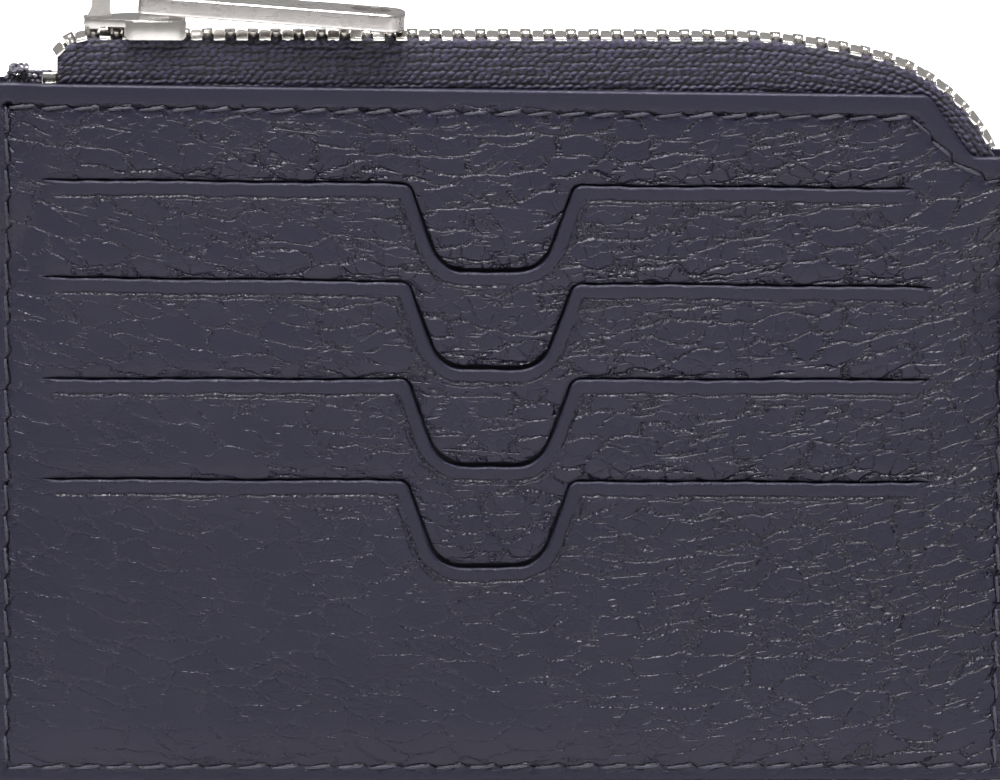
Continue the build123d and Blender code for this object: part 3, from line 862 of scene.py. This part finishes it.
# ---- the zip's path
CHAIN_LEFT = -42.4
CHAIN_BEND = 22.0
LEFT_RADIUS = 4.0
GENTLE_RADIUS = 65.0
GENTLE_TURN = math.radians(14)
TIGHT_RADIUS = 17.8
TIGHT_TURN = math.radians(54)
STRAIGHT = CHAIN_BEND - CHAIN_LEFT
CHAIN_END = STRAIGHT + GENTLE_RADIUS * GENTLE_TURN + TIGHT_RADIUS * TIGHT_TURN


def chain_point(s):
    """Middle of the chain at length s from its left bend: x, z and the turn from level."""
    gentle_x = CHAIN_BEND + GENTLE_RADIUS * math.sin(GENTLE_TURN)
    gentle_z = CHAIN_Z - GENTLE_RADIUS * (1 - math.cos(GENTLE_TURN))
    if s < 0:
        turn = max(s / LEFT_RADIUS, -math.pi / 2)
        rest = min(s + LEFT_RADIUS * math.pi / 2, 0)
        x = CHAIN_LEFT + LEFT_RADIUS * math.sin(turn)
        return x, CHAIN_Z - LEFT_RADIUS * (1 - math.cos(turn)) + rest, turn
    if s <= STRAIGHT:
        return CHAIN_LEFT + s, CHAIN_Z, 0.0
    over = s - STRAIGHT
    if over <= GENTLE_RADIUS * GENTLE_TURN:
        turn = over / GENTLE_RADIUS
        x = CHAIN_BEND + GENTLE_RADIUS * math.sin(turn)
        return x, CHAIN_Z - GENTLE_RADIUS * (1 - math.cos(turn)), turn
    turn = GENTLE_TURN + (over - GENTLE_RADIUS * GENTLE_TURN) / TIGHT_RADIUS
    x = gentle_x + TIGHT_RADIUS * (math.sin(turn) - math.sin(GENTLE_TURN))
    z = gentle_z - TIGHT_RADIUS * (math.cos(GENTLE_TURN) - math.cos(turn))
    return x, z, turn


# ---- zip tapes
TAPE_EDGE = 0.14
TAPE_FOOT = -9.6


def tape_profile():
    """Half cross-section of a tape from its edge in the teeth to its sewn edge."""
    return rounded_path(
        [(1.2, TAPE_EDGE), (2.45, TAPE_EDGE), (2.55, -1.5), (2.55, TAPE_FOOT)], [0.4, 2.0], step=0.1
    )


YARN_LONG = 0.84
YARN_ROW = 0.46
YARN_HIGH = 0.24


def weave(u, v):
    """Height of the yarns at u along and v across the tape, about 1 at their middles."""
    height = np.zeros_like(u)
    row = np.floor(v / YARN_ROW)
    for row_step in (-1, 0, 1):
        j = row + row_step
        shift = YARN_LONG * (0.5 * (j % 2) + 0.16 * np.sin(j * 4.1))
        column = np.round((u - shift) / YARN_LONG)
        angle = np.radians(15 + 5 * np.clip(j / 9, 0, 1) + 5 * np.sin(j * 7.7))
        for column_step in (-1, 0, 1):
            i = column + column_step
            loose = 0.09 * np.sin(i * 12.9 + j * 78.2)
            du = u - i * YARN_LONG - shift - loose
            dv = v - (j + 0.5) * YARN_ROW - 0.6 * loose - 0.07 * np.sin(i * 1.9 + j * 0.7)
            a = (du * np.cos(angle) - dv * np.sin(angle)) / (0.56 * YARN_LONG)
            b = (du * np.sin(angle) + dv * np.cos(angle)) / (0.50 * YARN_ROW)
            tall = 1 + 2.6 * loose
            height = np.maximum(height, tall * np.sqrt(np.clip(1 - np.abs(a) ** 1.6 - b * b, 0, 1)))
    return height


def make_tape(name, node_name, sign, left_end, right_end):
    """One woven tape, its yarns standing out of the cloth."""
    profile = tape_profile()
    lengths = np.r_[0, np.cumsum(np.hypot(*np.diff(profile, axis=0).T))]
    seen = 7.4
    v = np.r_[np.arange(0, seen, 0.105), np.linspace(seen, lengths[-1], 8)]
    y_at = np.interp(v, lengths, profile[:, 0])
    r_at = np.interp(v, lengths, profile[:, 1])
    normal_y = -np.gradient(r_at)
    normal_r = np.gradient(y_at)
    size = np.hypot(normal_y, normal_r)
    normal_y, normal_r = normal_y / size, normal_r / size
    s_values = np.arange(left_end, right_end, 0.165)
    front, back, burnt, yarn = [], [], [], []
    for s in s_values:
        x0, z0, turn = chain_point(s)
        out_x, out_z = math.sin(turn), math.cos(turn)
        fade = smooth((v - 0.1) / 0.4)
        if s < 0:
            along = np.full_like(v, x0 - CHAIN_LEFT)
            across = v + CHAIN_Z - z0
        else:
            along, across = np.full_like(v, s), v
        woven = weave(along, across)
        yarn.append(woven)
        lift = YARN_HIGH * woven * fade
        for depth, points in ((lift, front), (-0.2, back)):
            r = r_at + normal_r * depth
            y = y_at + normal_y * depth
            if s < 0:
                x = x0 + out_x * TAPE_EDGE + 0 * r
                z = z0 + out_z * TAPE_EDGE - (TAPE_EDGE - r)
                foot = CHAIN_Z + TAPE_FOOT
                z = np.where(z > foot + 2, z, foot + 2 * np.exp((z - foot - 2) / 2))
            else:
                x, z = x0 + out_x * r, z0 + out_z * r
            hidden = smooth((top_outline(np.clip(x, -HALF_WIDTH, HALF_WIDTH)) + 0.3 - z) / 0.8)
            room = outer_half(x, z) - LEATHER - 0.08 - (0 if depth is lift else 0.2)
            y = y + np.minimum(room - y, 0) * hidden
            points.append(np.c_[x, sign * y, z])
        burnt.append(np.full(len(v), smooth(1 - (s - left_end) / 0.45)))
    front, back = np.vstack(front), np.vstack(back)
    faces = grid_faces(len(s_values), len(v), flip=sign > 0)
    vertices, quads = thicken(front, faces, back)
    piece = make_object(name, vertices, quads, TAPE_LOOK, 80)
    for label, values in (("burnt", burnt), ("yarn", yarn)):
        store_values(piece, label, np.concatenate(values + values))
    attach(piece, "holder")
    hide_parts(node_name)


make_tape("front_tape", "zip_tape_front", -1, -3.9, CHAIN_END + 1.5)
make_tape("back_tape", "zip_tape_back", 1, -3.9, CHAIN_END + 1.5)


def tube(path, radius, ring=8):
    """A closed tube with tapered ends along a list of points in millimetres."""
    path = np.asarray(path, float)
    vertices = []
    count = len(path)
    for n, point in enumerate(path):
        ahead = path[min(n + 1, count - 1)] - path[max(n - 1, 0)]
        ahead = ahead / np.linalg.norm(ahead)
        side = np.cross(ahead, (0.13, 0.97, 0.2))
        side /= np.linalg.norm(side)
        up = np.cross(side, ahead)
        t = n / (count - 1)
        size = radius * (0.35 + 0.65 * min(1.0, 6 * min(t, 1 - t)))
        for k in range(ring):
            angle = 2 * math.pi * k / ring
            vertices.append(point + size * (math.cos(angle) * side + math.sin(angle) * up))
    return vertices, tube_faces(count, ring)


def make_tail():
    """The back tape's folded end past the top stop, bound and knotted with thread."""
    parts = []
    for row in range(6):
        for n in range(10 - row // 2):
            x = -50.9 + 0.56 * n + 0.28 * (row % 2)
            z = 70.9 + 0.47 * row + 0.05 * math.sin(n * 2.1)
            y = 0.95 + 0.12 * math.sin(n * 1.7 + row)
            path = [(x - 0.32, y + 0.1, z - 0.10), (x, y - 0.08, z), (x + 0.32, y + 0.1, z + 0.10)]
            parts.append(tube(path, 0.31))
    for n in range(6):
        t = np.linspace(0, 2 * math.pi, 15)
        size = 0.46 - 0.04 * n
        loop = np.c_[
            -50.3 + 0.26 * n + size * np.cos(t) * 0.8,
            0.5 + size * np.sin(t) * math.cos(n * 1.3),
            73.7 + 0.2 * math.sin(3.0 * n) + size * np.sin(t) * math.sin(n * 1.3 + 0.9),
        ]
        parts.append(tube(loop, 0.17))
    piece = make_object("tape_tail", *joined(parts), TAIL_LOOK, 80)
    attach(piece, "holder")


make_tail()


# ---- zip teeth
# The power of cosine and sine that squares a circle: 1 is round, 0 a box.
BOXINESS = 0.3


def loft(sections, ring=20):
    """Rounded-box sections (y, half width, low, high) joined into one closed shape."""
    vertices = []
    angles = np.linspace(0, 2 * math.pi, ring, endpoint=False) + math.pi / ring
    for y, half, low, high in sections:
        c, s = np.cos(angles), np.sin(angles)
        px = np.sign(c) * np.abs(c) ** BOXINESS * half
        pz = np.sign(s) * np.abs(s) ** BOXINESS * (high - low) / 2 + (high + low) / 2
        vertices += [(a, y, b) for a, b in zip(px, pz)]
    return np.array(vertices), tube_faces(len(sections), ring)


def tooth_parts(meshed):
    """The lofted parts of one front tooth, its head towards +y."""
    upper = [
        (-2.46, 0.50, 0.17, 0.42),
        (-2.42, 0.58, 0.12, 0.48),
        (-2.28, 0.60, 0.10, 0.55),
        (-1.25, 0.60, 0.30, 0.97),
        (-0.75, 0.57, 0.40, 1.0),
    ]
    lower = [(-1.1, 0.56, -0.95, -0.2), (-1.0, 0.6, -0.98, -0.1), (-0.75, 0.57, -1.0, -0.1)]
    head = [
        (-1.2, 0.52, -0.95, 0.95),
        (-1.1, 0.58, -0.98, 0.98),
        (-0.62, 0.57, -0.98, 0.98),
        (-0.45, 0.44, -0.93, 0.93),
        (-0.1, 0.47, -0.98, 0.98),
        (0.15, 0.46, -0.96, 0.96),
        (0.34, 0.38, -0.86, 0.86),
        (0.46, 0.24, -0.66, 0.66),
        (0.5, 0.10, -0.4, 0.4),
    ]
    if not meshed:
        head = head[:5] + [(0.2, 0.44, -0.93, 0.93), (0.4, 0.3, -0.72, 0.72), (0.5, 0.1, -0.4, 0.4)]
    return [upper, lower, head]


PITCH = 2.32
FIRST_TOOTH = 1.4


def make_teeth(name, node_name, sign, offset):
    """A row of teeth along the chain, meshed but for the last ones at the left."""
    parts = []
    count = int((CHAIN_END - FIRST_TOOTH - offset - 1.2) / PITCH) + 1
    for n in range(-2, count):
        meshed = n >= 0
        s = FIRST_TOOTH + offset + n * PITCH
        x0, z0, turn = chain_point(s)
        shift = 0.0 if meshed else -0.3
        roll = math.radians(float(rng.normal(0, 1.2)))
        for part in tooth_parts(meshed):
            points, quads = loft(part)
            y = -sign * (points[:, 1] + shift)
            px = points[:, 0] * math.cos(roll)
            pr = points[:, 2] + points[:, 0] * math.sin(roll)
            x = x0 + math.cos(turn) * px + math.sin(turn) * pr
            z = z0 - math.sin(turn) * px + math.cos(turn) * pr
            if sign > 0:
                quads = [q[::-1] for q in quads]
            parts.append((zip(x, y, z), quads))
    piece = make_object(name, *joined(parts), TOOTH_LOOK, 50)
    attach(piece, "holder")
    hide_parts(node_name)


make_teeth("front_teeth", "zip_teeth_front", -1, 0.0)
make_teeth("back_teeth", "zip_teeth_back", 1, PITCH / 2)


# ---- stitches
def make_stitches(name, node_name, holes, sign, slant):
    """Thread from hole to hole, each stitch slanted and sinking at its ends."""
    parts = []
    ring, steps, radius = 10, 12, 0.15
    for start, end in zip(holes, holes[1:]):
        along = end - start
        length = float(np.linalg.norm(along))
        if length < 1.0:
            continue
        along = along / length
        across = np.array([-along[1], along[0]])
        a = start + along * 0.15 - across * (slant + 0.1)
        b = end - along * 0.6 + across * (slant - 0.1)
        vertices = []
        for n in range(steps + 1):
            t = n / steps
            middle = a + (b - a) * t
            bow = 0.15 * math.sin(math.pi * t) ** 0.5 - 0.24
            half = float(outer_half(np.array(middle[0]), np.array(middle[1])))
            thick = radius * (0.8 + 0.2 * math.sin(math.pi * t))
            for k in range(ring):
                angle = 2 * math.pi * k / ring + 5.0 * t
                ply = 1 + 0.14 * math.cos(2 * (angle - 12.0 * t))
                side = thick * ply * math.cos(angle)
                rise = thick * ply * math.sin(angle) + bow
                place = middle + across * side
                vertices.append((place[0], sign * (half + rise), place[1]))
        faces = tube_faces(steps + 1, ring)
        parts.append((vertices, faces if sign > 0 else [f[::-1] for f in faces]))
    piece = make_object(name, *joined(parts), THREAD_LOOK, 80)
    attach(piece, "holder")
    if node_name:
        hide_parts(node_name)


perimeter = needle_holes(PERIMETER_SEAM)
zip_holes = needle_holes(ZIP_SEAM)
make_stitches("perimeter_thread_front", "perimeter_stitching", perimeter, -1, 0.12)
make_stitches("perimeter_thread_back", None, perimeter, 1, 0.12)
make_stitches("zip_thread_front", "zip_stitching_front", zip_holes, -1, 0.16)
make_stitches("zip_thread_back", "zip_stitching_back", zip_holes, 1, 0.16)

# ---- slider, bridge, pull, stops
SLIDER_LOW, SLIDER_HIGH = corners_mm("slider_body")
BRIDGE_LOW, BRIDGE_HIGH = corners_mm("slider_bridge")
PLATE_TOP = SLIDER_HIGH[2]
NOSE, HEEL = SLIDER_LOW[0], SLIDER_HIGH[0]


def make_slider():
    """Top plate tapering to its nose, two side flanges, and the parts between them."""
    half = SLIDER_HIGH[1]
    edge = half - 0.14
    top = [(NOSE, 1.5), (NOSE + 3.9, edge - 0.35), (NOSE + 5.0, edge), (HEEL, edge)]
    top += [(x, -y) for x, y in reversed(top)]
    radii = [0.8, 2.5, 2.5, 0.5, 0.5, 2.5, 2.5, 0.8]
    parts = [prism(closed_outline(top, radii), PLATE_TOP - 0.75, PLATE_TOP, "z")]
    for sign in (-1, 1):
        begin = NOSE + (4.1 if sign < 0 else 2.4)
        lowest = 77.1 if sign < 0 else 77.35
        inset = (NOSE + 5.0 - begin) * 0.5
        side = [(begin, half - inset), (NOSE + 5.0, half), (HEEL, half)]
        side += [(HEEL, half - 0.75), (NOSE + 5.0, half - 0.75), (begin, half - inset - 0.6)]
        vertices, faces = prism(
            closed_outline(side, [0.05, 0.05, 0.05, 0.05, 0.3, 0.05]), lowest, PLATE_TOP - 0.12, "z"
        )
        bent = []
        for x, y, z in vertices:
            end = min(x - begin, HEEL - x)
            if z < 78 and end < 0.55:
                z += 0.55 - math.sqrt(max(0.0, 0.55**2 - (0.55 - max(end, 0.0)) ** 2))
            bent.append((x, sign * y, z))
        if sign < 0:
            faces = [f[::-1] for f in faces]
        parts.append((bent, faces))
    # The inner plate, the post at the nose and the wedge above the chain.
    for front, rear, radius, low, high in (
        ((NOSE, 0.9), (HEEL, 1.0), 0.5, 74.5, 75.6),
        ((NOSE + 0.1, 0.15), (NOSE + 0.7, 0.15), 0.1, 75.2, PLATE_TOP - 0.3),
        ((NOSE + 0.2, 0.3), (NOSE + 2.3, 0.45), 0.2, CHAIN_Z + 1.06, PLATE_TOP - 0.3),
    ):
        outline = [front, rear, (rear[0], -rear[1]), (front[0], -front[1])]
        parts.append(prism(closed_outline(outline, [radius] * 4), low, high, "z"))
    piece = bevelled("slider_shell", parts, SLIDER_LOOK, 0.11, sharp=24)
    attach(piece, "slider")
    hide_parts("slider_body")


def make_bridge():
    """The loop on the plate that the pull swings in, flared at its foot."""
    left, right, top = BRIDGE_LOW[0], BRIDGE_HIGH[0], BRIDGE_HIGH[2]
    foot = PLATE_TOP - 0.3
    outline = [
        (left - 0.7, foot),
        (left - 0.5, PLATE_TOP + 0.1),
        (left - 0.1, PLATE_TOP + 0.9),
        (left - 0.05, top),
        (right, top),
        (right, foot),
        (right - 1.2, foot),
        (right - 1.2, top - 1.1),
        (left + 2.0, top - 1.1),
        (left + 1.8, PLATE_TOP + 0.9),
        (left + 2.0, PLATE_TOP + 0.1),
        (left + 2.5, foot),
    ]
    radii = [0.05, 0.3, 2.0, 1.7, 1.4, 0.05, 0.05, 0.6, 0.8, 1.5, 0.3, 0.05]
    half = BRIDGE_HIGH[1]
    part = prism(closed_outline(outline, radii, 0.18), -half, half, "y")
    piece = bevelled("pull_bridge", [part], SLIDER_LOOK, 0.28, sharp=20)
    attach(piece, "slider")
    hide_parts("slider_bridge")


def make_stops():
    """The two metal stops clamped on the tape ends."""
    low, high = corners_mm("zip_top_stops")
    middle = (low[0] + high[0]) / 2
    parts = []
    for sign in (-1, 1):
        left, right = middle - 1.1, middle + 0.95
        box = [(left, 0.45), (right, 0.45), (right, 1.9), (left, 1.9)]
        vertices, faces = prism(closed_outline(box, [0.35] * 4), 72.0, 73.25, "z")
        if sign < 0:
            vertices = [(x, -y, z - 1.4) for x, y, z in vertices]
            faces = [f[::-1] for f in faces]
        parts.append((vertices, faces))
    piece = bevelled("top_stops", parts, TOOTH_LOOK, 0.16)
    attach(piece, "holder")
    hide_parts("zip_top_stops")


make_slider()
make_bridge()
make_stops()
for node_name, name, body, look, width, slot_name in (
    ("pull_tab", "pull_bar", "pull", PULL_LOOK, 0.22, "slider"),
    ("zip_bottom_stop", "bottom_stop", "holder", TOOTH_LOOK, 0.15, "teeth"),
):
    piece = cad_copy(node_name, name)
    piece.data.materials.clear()
    piece.data.materials.append(look)
    break_edges(piece, width)
    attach(piece, body)
    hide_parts(node_name)


# ---- floor, light, camera
def make_floor():
    """A wide pale floor."""
    look = Look("studio_floor")
    tone = look.noise(look.space((1, 1, 1)), 3, 3, 0.2, 0.8)
    colour = look.mix(tone, (0.77, 0.77, 0.77), (0.80, 0.80, 0.80))
    look.fill(look.shader, {"Base Color": colour, "Roughness": 0.9})
    mesh = bpy.data.meshes.new("floor")
    size = 6.0
    corners = [(-size, -size, 0), (size, -size, 0), (size, size, 0), (-size, size, 0)]
    mesh.from_pydata(corners, [], [(0, 1, 2, 3)])
    mesh.materials.append(look.material)
    floor = add_object("floor", mesh)


def add_light(name, place, target, size, energy, spread):
    """A soft box aimed at a point, its beam no wider than spread degrees."""
    data = bpy.data.lights.new(name, "AREA")
    data.shape = "RECTANGLE"
    data.size, data.size_y = size
    data.energy = energy
    data.spread = math.radians(spread)
    lamp = add_object(name, data)
    lamp.location = place
    aim = Vector(target) - Vector(place)
    lamp.rotation_euler = aim.to_track_quat("-Z", "Y").to_euler()


def add_camera():
    """A long lens in front, a little above and to the left."""
    azimuth, elevation, roll = math.radians(3.0), math.radians(9.0), math.radians(0.5)
    distance = 1.1
    target = Vector((-0.0004, 0.0, 0.0406))
    level_length = math.cos(elevation)
    ahead = (math.sin(azimuth) * level_length, math.cos(azimuth) * level_length)
    forward = Vector((*ahead, -math.sin(elevation)))
    level = Vector((math.cos(azimuth), -math.sin(azimuth), 0))
    upright = level.cross(forward)
    right = level * math.cos(roll) + upright * math.sin(roll)
    up = upright * math.cos(roll) - level * math.sin(roll)
    data = bpy.data.cameras.new("camera")
    data.sensor_width = 36
    data.lens = 9.75 * distance * data.sensor_width
    data.clip_start, data.clip_end = 0.01, 50
    camera = add_object("camera", data)
    turn = Matrix((right, up, -forward)).transposed().to_4x4()
    camera.matrix_world = Matrix.Translation(target - forward * distance) @ turn
    bpy.context.scene.camera = camera


make_floor()
world = bpy.data.worlds.new("studio")
world.use_nodes = True
world.node_tree.nodes["Background"].inputs["Color"].default_value = (1, 1, 1, 1)
world.node_tree.nodes["Background"].inputs["Strength"].default_value = 0.31
bpy.context.scene.world = world
bpy.context.scene.view_settings.view_transform = "Standard"
add_light("key", (-0.05, -0.20, 0.80), (0, -0.01, 0.05), (0.6, 0.4), 2.35, 50)
add_light("floor_light", (0, 0.95, 0.7), (0, 0.95, 0), (1.6, 0.7), 30, 50)
add_light("front_floor_light", (0, -0.45, 0.5), (0, -0.45, 0), (1.2, 0.4), 1.45, 40)
add_camera()
